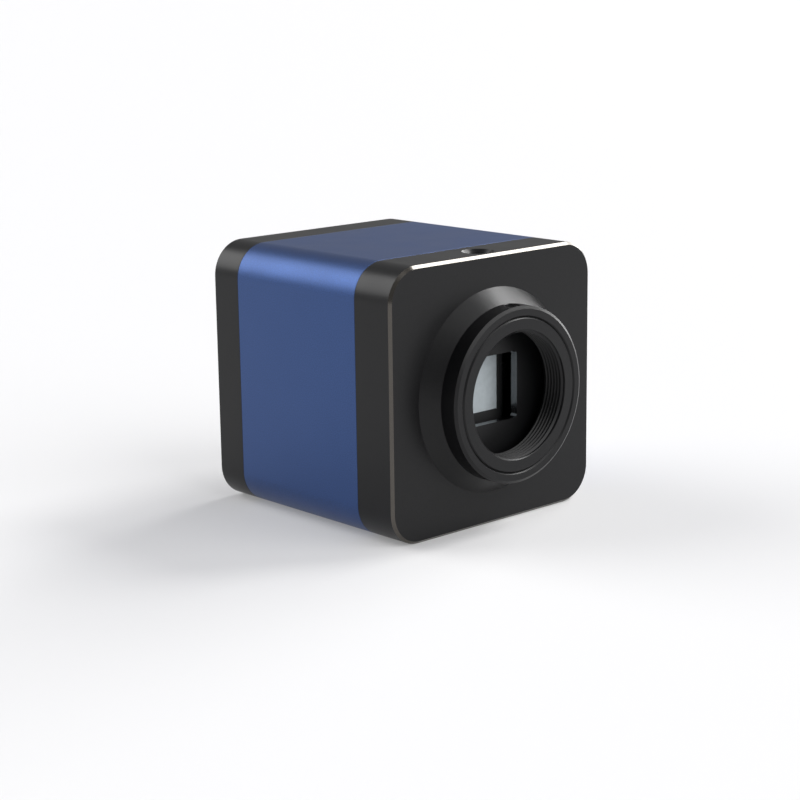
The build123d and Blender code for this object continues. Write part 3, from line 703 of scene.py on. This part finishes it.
class StageSizes(bpy.types.PropertyGroup):
    """The floor, the lamps and the view."""

    floor_width: bpy.props.FloatProperty(
        name="Floor width", description="Side of the square floor", default=12.0, unit="LENGTH",
    )
    floor_colour: bpy.props.FloatVectorProperty(
        name="Floor colour", description="Paper-white floor", subtype="COLOR", size=4,
        default=linear("#D0CFCE"), min=0.0, max=1.0,
    )
    floor_lift: bpy.props.FloatProperty(
        name="Floor lift", description="How much white the floor shows beyond what the lamps give it",
        default=0.215, min=0.0, max=1.0,
    )
    shade_colour: bpy.props.FloatVectorProperty(
        name="Shade colour", description="Tint of the light that the walls give", subtype="COLOR", size=4,
        default=linear("#C2D2FF"), min=0.0, max=1.0,
    )
    wall_light: bpy.props.FloatProperty(
        name="Wall light", description="Light that the pale walls of the studio give", default=0.10,
        min=0.0, max=1.0,
    )
    wall_lift: bpy.props.FloatProperty(
        name="Wall lift", description="How much more of the walls gloss shows", default=0.22,
        min=0.0, max=1.0,
    )
    view_from: bpy.props.FloatVectorProperty(
        name="View from", description="Place of the viewing camera", subtype="XYZ", unit="LENGTH",
        default=(-262.770 * MM, -252.524 * MM, 82.970 * MM),
    )
    view_turn: bpy.props.FloatVectorProperty(
        name="View turn", description="Turn of the viewing camera", subtype="EULER", unit="ROTATION",
        default=(math.radians(77.0591), math.radians(0.7544), math.radians(-42.6514)),
    )
    focal_length: bpy.props.FloatProperty(
        name="Focal length", description="Lens of the viewing camera, in millimetres on a 36 mm sensor",
        default=86.685,
    )


def weld_copy(node):
    """A bmesh of a solid's mesh with its loose triangles joined up."""
    weld_distance = 0.0005 * MM
    flat_degrees = 0.2
    bm = bmesh.new()
    bm.from_mesh(frame["nodes"][node].data)
    bmesh.ops.remove_doubles(bm, verts=bm.verts, dist=weld_distance)
    bmesh.ops.dissolve_limit(bm, angle_limit=math.radians(flat_degrees), verts=bm.verts, edges=bm.edges)
    return bm


class MCAM_OT_finishes(bpy.types.Operator):
    """Give every solid of the camera the finish of its slot"""

    bl_idname = "mcam.finishes"
    bl_label = "Finishes"

    def execute(self, context):
        for node, piece in frame["nodes"].items():
            piece.data.materials.clear()
            piece.data.materials.append(finish(MATERIAL_OF_SLOT[SLOT_OF_NODE[node]]))
        return {"FINISHED"}


def mark_cut_faces(bm, sizes):
    """Gives the bright-cut front edge and the milled window walls of the front housing their own finishes."""
    least_slant, most_slant, level = 0.3, 0.95, 0.1
    cut_finish, window_finish = 1, 2
    for face in bm.faces:
        middle = face.calc_center_median()
        reach = max(abs(middle.x), abs(middle.z))
        slanted = least_slant < -face.normal.y < most_slant
        if slanted and sizes.front < middle.y < sizes.front + sizes.edge_depth and reach > sizes.edge_reach:
            face.material_index = cut_finish
        walled = abs(face.normal.y) < level
        if walled and sizes.window_front < middle.y < sizes.window_back and reach < sizes.window_reach:
            face.material_index = window_finish


class MCAM_OT_housing(bpy.types.Operator):
    """Build the front housing, the sleeve and the rear cover with softly shaded corners"""

    bl_idname = "mcam.housing"
    bl_label = "Housing sections"

    def execute(self, context):
        for node in ("front_housing", "centre_sleeve", "rear_cover"):
            bm = weld_copy(node)
            if node == "front_housing":
                mark_cut_faces(bm, context.scene.mcam_housing_sizes)
            piece = finish_piece(
                bm, node + "_blasted", "camera", SLOT_OF_NODE[node], [node], recalculate=False
            )
            if node == "front_housing":
                for maker in (bright_cut_edge, machined_window):
                    piece.data.materials.append(finish(maker))
        return {"FINISHED"}


class MCAM_OT_lens_ring(bpy.types.Operator):
    """Cut the lens ring's helical thread"""

    bl_idname = "mcam.lens_ring"
    bl_label = "Lens ring"

    def execute(self, context):
        sizes = context.scene.mcam_ring
        length = RING_HIGH.y
        outer = RING_HIGH.z
        bm = bmesh.new()
        threaded_wall(bm, sizes.crest_radius, sizes.root_radius, sizes.pitch, length, sizes.steps)
        lead = sizes.mouth_radius - sizes.crest_radius
        for y in (lead, length - lead):
            bmesh.ops.bisect_plane(
                bm, geom=bm.verts[:] + bm.edges[:] + bm.faces[:], dist=CUT_WIDTH,
                plane_co=(0, y, 0), plane_no=(0, 1, 0),
            )
        for vert in bm.verts:
            radius = math.hypot(vert.co.x, vert.co.z)
            wanted = max(radius, sizes.mouth_radius - vert.co.y, sizes.mouth_radius - (length - vert.co.y))
            vert.co.x *= wanted / radius
            vert.co.z *= wanted / radius
        front = loop_at(bm, lambda co: co.y < length / 2)
        back = loop_at(bm, lambda co: co.y > length / 2)
        front = widen(bm, front, outer - sizes.edge, 0)
        front = widen(bm, front, outer, sizes.edge)
        back = widen(bm, back, outer - sizes.edge, length)
        back = widen(bm, back, outer, length - sizes.edge)
        bmesh.ops.bridge_loops(bm, edges=front + back)
        finish_piece(bm, "threaded_lens_ring", "lens_ring", "black_anodised", ["c_mount_ring"])
        return {"FINISHED"}


def hexagon_socket(bm, centre, across_flats, depth):
    """A hexagon socket sunk along -Z from the one open round rim, which is level with the given centre."""
    rim = loop_at(bm, lambda co: abs(co.z - centre.z) < MERGE)
    made = bmesh.ops.create_circle(
        bm, segments=6, radius=across_flats / math.sqrt(3), cap_ends=False,
        matrix=Matrix.Translation(centre),
    )
    mouth = list({e for v in made["verts"] for e in v.link_edges})
    bmesh.ops.bridge_loops(bm, edges=rim + mouth)
    grown = bmesh.ops.extrude_edge_only(bm, edges=mouth)["geom"]
    bottom = [v for v in grown if isinstance(v, bmesh.types.BMVert)]
    bmesh.ops.translate(bm, verts=bottom, vec=(0, 0, -depth))
    floor_edges = [e for e in grown if isinstance(e, bmesh.types.BMEdge)]
    bmesh.ops.contextual_create(bm, geom=floor_edges)


def screw_blank(bm, profile, key_width, key_depth, steps=48):
    """A screw about the Z axis: the profile of (radius, z) ends at the mouth of its hexagon socket."""
    spun_profile(bm, [(r, 0, z) for r, z in profile], (0, 0, 0), (0, 0, 1), steps)
    top = profile[-1][1]
    hexagon_socket(bm, Vector((0, 0, top)), key_width, key_depth)


class MCAM_OT_screws(bpy.types.Operator):
    """Turn the lock screw and the four housing screws, with their hexagon sockets"""

    bl_idname = "mcam.screws"
    bl_label = "Socket screws"

    def execute(self, context):
        sizes = context.scene.mcam_screws
        rim = sizes.key_rim
        # Set screw: cup point below, chamfered top
        radius = LOCK_HIGH.x
        height = LOCK_HIGH.z - LOCK_LOW.z
        edge = sizes.set_edge
        bm = bmesh.new()
        profile = [
            (0, sizes.set_cup), (sizes.set_cup_radius, 0), (radius - edge, 0), (radius, edge),
            (radius, height - edge), (radius - edge, height), (rim, height),
        ]
        screw_blank(bm, profile, sizes.key_width, sizes.key_depth)
        middle_y = (LOCK_LOW.y + LOCK_HIGH.y) / 2
        bmesh.ops.translate(bm, verts=bm.verts, vec=(0, middle_y, LOCK_LOW.z))
        finish_piece(bm, "socket_set_screw", "camera", "black_screw", ["ring_lock_screw"])
        # Long housing screws, whose heads face the rear
        head_radius, shank = sizes.head_radius, sizes.shank
        length = SCREWS_HIGH.y - SCREWS_LOW.y
        under_head = length - sizes.head_height
        profile = [
            (0, 0), (shank - edge, 0), (shank, edge), (shank, under_head), (head_radius, under_head),
            (head_radius, length - sizes.head_edge), (head_radius - sizes.head_edge, length), (rim, length),
        ]
        together = bmesh.new()
        spot_x = SCREWS_HIGH.x - head_radius
        spot_z = SCREWS_HIGH.z - head_radius
        for x in (-spot_x, spot_x):
            for z in (-spot_z, spot_z):
                bm = bmesh.new()
                screw_blank(bm, profile, sizes.key_width, sizes.key_depth)
                bmesh.ops.rotate(bm, verts=bm.verts, matrix=Matrix.Rotation(-math.pi / 2, 3, "X"))
                bmesh.ops.translate(bm, verts=bm.verts, vec=(x, SCREWS_LOW.y, z))
                mesh = bpy.data.meshes.new("one_screw")
                bm.to_mesh(mesh)
                bm.free()
                together.from_mesh(mesh)
                bpy.data.meshes.remove(mesh)
        finish_piece(together, "long_socket_screws", "camera", "black_screw", ["housing_screws"])
        return {"FINISHED"}


class MCAM_OT_camera_thread(bpy.types.Operator):
    """Cut the turns of the camera thread in the hole on top"""

    bl_idname = "mcam.camera_thread"
    bl_label = "Camera thread"

    def execute(self, context):
        sizes = context.scene.mcam_screws
        depth = sizes.top_length
        steps = 64
        bm = bmesh.new()
        threaded_wall(bm, sizes.top_crest, sizes.top_root, sizes.top_pitch, depth, steps)
        back = sizes.top_root + sizes.top_backing
        upper = widen(bm, loop_at(bm, lambda co: co.y < depth / 2), back, 0)
        lower = widen(bm, loop_at(bm, lambda co: co.y > depth / 2), back, depth)
        bmesh.ops.bridge_loops(bm, edges=upper + lower)
        mouth = Vector((0, sizes.top_behind, HOUSING_HIGH.z - sizes.top_start))
        place = Matrix.Translation(mouth) @ Matrix.Rotation(-math.pi / 2, 4, "X")
        bmesh.ops.transform(bm, matrix=place, verts=bm.verts)
        finish_piece(bm, "camera_thread_turns", "camera", "black_anodised")
        return {"FINISHED"}


class MCAM_OT_contacts(bpy.types.Operator):
    """Press the contacts and the shells' spring fingers of the video and data sockets"""

    bl_idname = "mcam.contacts"
    bl_label = "Socket contacts"

    def execute(self, context):
        sizes = context.scene.mcam_sockets
        self.video_contacts(sizes)
        self.data_contacts(sizes)
        for name, low, high, wall, spread in (
            ("video_shell_fingers", VIDEO_LOW, VIDEO_HIGH, sizes.video_wall, sizes.video_finger),
            ("data_shell_fingers", DATA_LOW, DATA_HIGH, sizes.data_wall, sizes.data_finger),
        ):
            self.fingers(name, low, high, wall, spread, sizes)
        return {"FINISHED"}

    def video_contacts(self, sizes):
        """Ten contacts under the video socket's tongue and nine on it, with their tips bent in."""
        sheet = sizes.sheet
        under, above = (10, -1, 0), (9, 1, sheet)
        bend = 0.5 * MM
        middle_x = (VIDEO_LOW.x + VIDEO_HIGH.x) / 2
        tongue_z = VIDEO_LOW.z + sizes.video_tongue_middle
        root, tip = VIDEO_LOW.y + sizes.video_base, VIDEO_HIGH.y - sizes.video_inset
        bm = bmesh.new()
        for count, side, lift in (under, above):
            face_z = tongue_z + side * sizes.video_tongue_half + lift
            path = [(root, 0), (tip - bend, 0), (tip, -side * sheet)]
            for i in range(count):
                x = middle_x + (i - (count - 1) / 2) * sizes.video_pitch
                spring_leaf(bm, path, sizes.video_contact, sheet, Matrix.Translation((x, 0, face_z)))
        finish_piece(bm, "video_contacts", "camera", "socket_steel", maker=gold_flash)

    def data_contacts(self, sizes):
        """Four sprung contacts under the data socket's tongue."""
        rise, crest, fall = 2.3 * MM, 1.0 * MM, 1.2 * MM
        middle_x = (DATA_LOW.x + DATA_HIGH.x) / 2
        under_z = DATA_LOW.z + sizes.data_tongue_under
        root, tip = DATA_LOW.y + sizes.data_base, DATA_HIGH.y - sizes.data_inset
        path = [
            (root, 0), (tip - fall - crest - rise, 0), (tip - fall - crest, -sizes.finger_dip),
            (tip - fall, -sizes.finger_dip), (tip, 0),
        ]
        bm = bmesh.new()
        for x in (-sizes.data_far, -sizes.data_near, sizes.data_near, sizes.data_far):
            place = Matrix.Translation((middle_x + x, 0, under_z))
            spring_leaf(bm, path, sizes.data_contact, sizes.sheet, place)
        finish_piece(bm, "data_contacts", "camera", "socket_steel", maker=gold_flash)

    def fingers(self, name, low, high, wall, spread, sizes):
        """Two fingers bent in from the floor and two from the roof of a shell, which grip the plug."""
        setback, slope, flat, heel = 0.8 * MM, 3.4 * MM, 0.8 * MM, 1.0 * MM
        seat = sizes.sheet / 4
        mouth = high.y - setback
        bm = bmesh.new()
        for side, wall_z in ((-1, high.z - wall), (1, low.z + wall)):
            dip = side * sizes.finger_dip
            path = [
                (mouth, side * seat), (mouth - slope, dip), (mouth - slope - flat, dip),
                (mouth - slope - flat - heel, side * seat),
            ]
            for x in (-spread, spread):
                place = Matrix.Translation(((low.x + high.x) / 2 + x, 0, wall_z))
                spring_leaf(bm, path, sizes.finger_width, sizes.sheet, place)
        finish_piece(bm, name, "camera", "socket_steel")


class MCAM_OT_rear_fittings(bpy.types.Operator):
    """Turn the jack's rounded pin, the button's dished cap and the lamp's dome"""

    bl_idname = "mcam.rear_fittings"
    bl_label = "Jack pin, button and lamp"

    def execute(self, context):
        sizes = context.scene.mcam_sockets
        steps = 56
        for name, body, slot, node, low, high, profile in (
            ("rounded_jack_pin", "camera", "steel", "power_jack_pin", PIN_LOW, PIN_HIGH, self.pin()),
            (
                "dished_button_cap", "button", "button_plastic", "power_button", BUTTON_LOW, BUTTON_HIGH,
                self.cap(sizes),
            ),
            ("domed_lamp", "camera", "led_lens", "status_led", LED_LOW, LED_HIGH, self.lamp(sizes)),
        ):
            axis_point = Vector(((low.x + high.x) / 2, 0, (low.z + high.z) / 2))
            bm = bmesh.new()
            points = [axis_point + Vector((r, y, 0)) for r, y in profile]
            spun_profile(bm, points, axis_point, (0, 1, 0), steps)
            finish_piece(bm, name, body, slot, [node])
        return {"FINISHED"}

    def pin(self):
        """Profile of a round pin with a domed tip."""
        radius = (PIN_HIGH.x - PIN_LOW.x) / 2
        return [(0, PIN_LOW.y), (radius, PIN_LOW.y), *rounded_end(radius, PIN_HIGH.y - radius, PIN_HIGH.y)]

    def cap(self, sizes):
        """Profile of a flanged key cap: a rounded rim round a shallow hollow for the fingertip."""
        steps = 5
        bottom, top = BUTTON_LOW.y, BUTTON_HIGH.y
        radius, rim = sizes.cap_radius, sizes.cap_rim
        flange_radius = (BUTTON_HIGH.x - BUTTON_LOW.x) / 2 - sizes.cap_gap
        turns = [math.pi / 2 * i / steps for i in range(steps + 1)]
        rounding = [(radius - rim + rim * math.cos(turn), top - rim + rim * math.sin(turn)) for turn in turns]
        shares = [1 - i / steps for i in range(steps + 1)]
        hollow = [((radius - 2 * rim) * share, top - sizes.cap_dish * (1 - share**2)) for share in shares]
        return [
            (0, bottom), (flange_radius, bottom), (flange_radius, bottom + sizes.flange),
            (radius, bottom + sizes.flange), *rounding, *hollow,
        ]

    def lamp(self, sizes):
        """Profile of a flanged lamp with a domed lens, whose tip is flush with the cover."""
        flange_radius = (LED_HIGH.x - LED_LOW.x) / 2
        shoulder = LED_LOW.y + sizes.flange
        return [
            (0, LED_LOW.y), (flange_radius, LED_LOW.y), (flange_radius, shoulder),
            (sizes.lamp_radius, shoulder),
            *rounded_end(sizes.lamp_radius, LED_HIGH.y - sizes.lamp_dome, LED_HIGH.y),
        ]


class MCAM_OT_stage(bpy.types.Operator):
    """Lay the white floor, hang the soft lamps and set the view"""

    bl_idname = "mcam.stage"
    bl_label = "Stage"

    def execute(self, context):
        sizes = context.scene.mcam_stage
        bm = bmesh.new()
        bmesh.ops.create_grid(bm, x_segments=2, y_segments=2, size=sizes.floor_width / 2)
        mesh = bpy.data.meshes.new("studio_floor")
        bm.to_mesh(mesh)
        bm.free()
        mesh.transform(Matrix.Translation((0, 0, CAD_BOX[0].z)))
        floor = bpy.data.objects.new("studio_floor", mesh)
        context.scene.collection.objects.link(floor)
        material, tree = new_tree("White paper floor")
        paper = add_node(
            tree, "ShaderNodeBsdfPrincipled",
            {"Base Color": tuple(sizes.floor_colour), "Roughness": 0.9, "Specular IOR Level": 0.1},
        )
        # The paper's own white is added for what looks at it, straight or in a reflection
        path = add_node(tree, "ShaderNodeLightPath")
        seen = add_node(
            tree, "ShaderNodeMath",
            {0: path.outputs["Is Camera Ray"], 1: path.outputs["Is Glossy Ray"]}, operation="MAXIMUM",
        )
        seen = add_node(
            tree, "ShaderNodeMath",
            {0: seen.outputs[0], 1: path.outputs["Is Transmission Ray"]}, operation="MAXIMUM",
        )
        lift = add_node(
            tree, "ShaderNodeMath", {0: seen.outputs[0], 1: sizes.floor_lift}, operation="MULTIPLY"
        )
        glow = add_node(
            tree, "ShaderNodeEmission", {"Color": linear("#FFFFFF"), "Strength": lift.outputs[0]}
        )
        both = add_node(tree, "ShaderNodeAddShader", {0: paper.outputs["BSDF"], 1: glow.outputs["Emission"]})
        close_tree(tree, both.outputs["Shader"])
        floor.data.materials.append(material)

        for name, towards, strength, spread in (
            ("high right lamp", (0.68, -0.20, 0.70), 1.5, 20.0),
            ("right lamp", (0.88, 0.10, 0.45), 1.15, 28.0),
            ("low right lamp", (0.96, 0.21, 0.17), 0.8, 26.0),
            ("back left lamp", (-0.45, 0.72, 0.53), 1.8, 45.0),
            ("front lamp", (0.26, -0.84, 0.48), 2.1, 62.0),
        ):
            light = bpy.data.lights.new(name, "SUN")
            light.energy = strength
            light.angle = math.radians(spread)
            lamp = bpy.data.objects.new(name, light)
            lamp.rotation_euler = Vector(towards).to_track_quat("Z", "Y").to_euler()
            context.scene.collection.objects.link(lamp)

        world = bpy.data.worlds.new("Pale studio")
        context.scene.world = world
        world.use_nodes = True
        world.node_tree.nodes.clear()
        # The pale walls give the object little light, its gloss shows a little more of them, and the
        # view sees them white
        path = add_node(world.node_tree, "ShaderNodeLightPath")
        walls = add_node(
            world.node_tree, "ShaderNodeMath",
            {0: path.outputs["Is Glossy Ray"], 1: sizes.wall_lift, 2: sizes.wall_light},
            operation="MULTIPLY_ADD",
        )
        walls = add_node(
            world.node_tree, "ShaderNodeMath",
            {0: path.outputs["Is Camera Ray"], 1: walls.outputs[0]}, operation="MAXIMUM",
        )
        # Shade is a little cool, but the view and gloss show the walls as plain white
        plain = add_node(
            world.node_tree, "ShaderNodeMath",
            {0: path.outputs["Is Camera Ray"], 1: path.outputs["Is Glossy Ray"]}, operation="MAXIMUM",
        )
        hue = add_node(
            world.node_tree, "ShaderNodeMix",
            {"Factor": plain.outputs[0], "A": tuple(sizes.shade_colour), "B": linear("#FFFFFF")},
            data_type="RGBA",
        )
        sky = add_node(
            world.node_tree, "ShaderNodeBackground",
            {"Color": hue.outputs["Result"], "Strength": walls.outputs[0]},
        )
        add_node(world.node_tree, "ShaderNodeOutputWorld", {"Surface": sky.outputs["Background"]})

        view = bpy.data.cameras.new("view")
        view.sensor_width = 36.0
        view.lens = sizes.focal_length
        view.clip_start = 0.01
        view.clip_end = 50.0
        eye = bpy.data.objects.new("view", view)
        eye.location = sizes.view_from
        eye.rotation_euler = Euler(sizes.view_turn)
        context.scene.collection.objects.link(eye)
        context.scene.camera = eye
        context.scene.view_settings.view_transform = "Standard"
        return {"FINISHED"}


class MCAM_PT_panel(bpy.types.Panel):
    """Lists the steps that dress the camera"""

    bl_idname = "MCAM_PT_panel"
    bl_label = "Microscope camera"
    bl_space_type = "VIEW_3D"
    bl_region_type = "UI"
    bl_category = "Camera"

    def draw(self, context):
        for operator in OPERATORS:
            self.layout.operator(operator.bl_idname)


OPERATORS = (
    MCAM_OT_finishes,
    MCAM_OT_housing,
    MCAM_OT_lens_ring,
    MCAM_OT_screws,
    MCAM_OT_camera_thread,
    MCAM_OT_contacts,
    MCAM_OT_rear_fittings,
    MCAM_OT_stage,
)
GROUPS = {
    "mcam_housing_sizes": HousingSizes,
    "mcam_ring": LensRingSizes,
    "mcam_screws": ScrewSizes,
    "mcam_sockets": SocketSizes,
    "mcam_stage": StageSizes,
}


def register():
    for kind in (*GROUPS.values(), *OPERATORS, MCAM_PT_panel):
        bpy.utils.register_class(kind)
    for name, kind in GROUPS.items():
        setattr(bpy.types.Scene, name, bpy.props.PointerProperty(type=kind))


def unregister():
    for name in GROUPS:
        delattr(bpy.types.Scene, name)
    for kind in reversed((*GROUPS.values(), *OPERATORS, MCAM_PT_panel)):
        bpy.utils.unregister_class(kind)


def main():
    """Runs every step in order."""
    register()
    bpy.ops.mcam.finishes()
    bpy.ops.mcam.housing()
    bpy.ops.mcam.lens_ring()
    bpy.ops.mcam.screws()
    bpy.ops.mcam.camera_thread()
    bpy.ops.mcam.contacts()
    bpy.ops.mcam.rear_fittings()
    bpy.ops.mcam.stage()


if __name__ == "__main__":
    main()
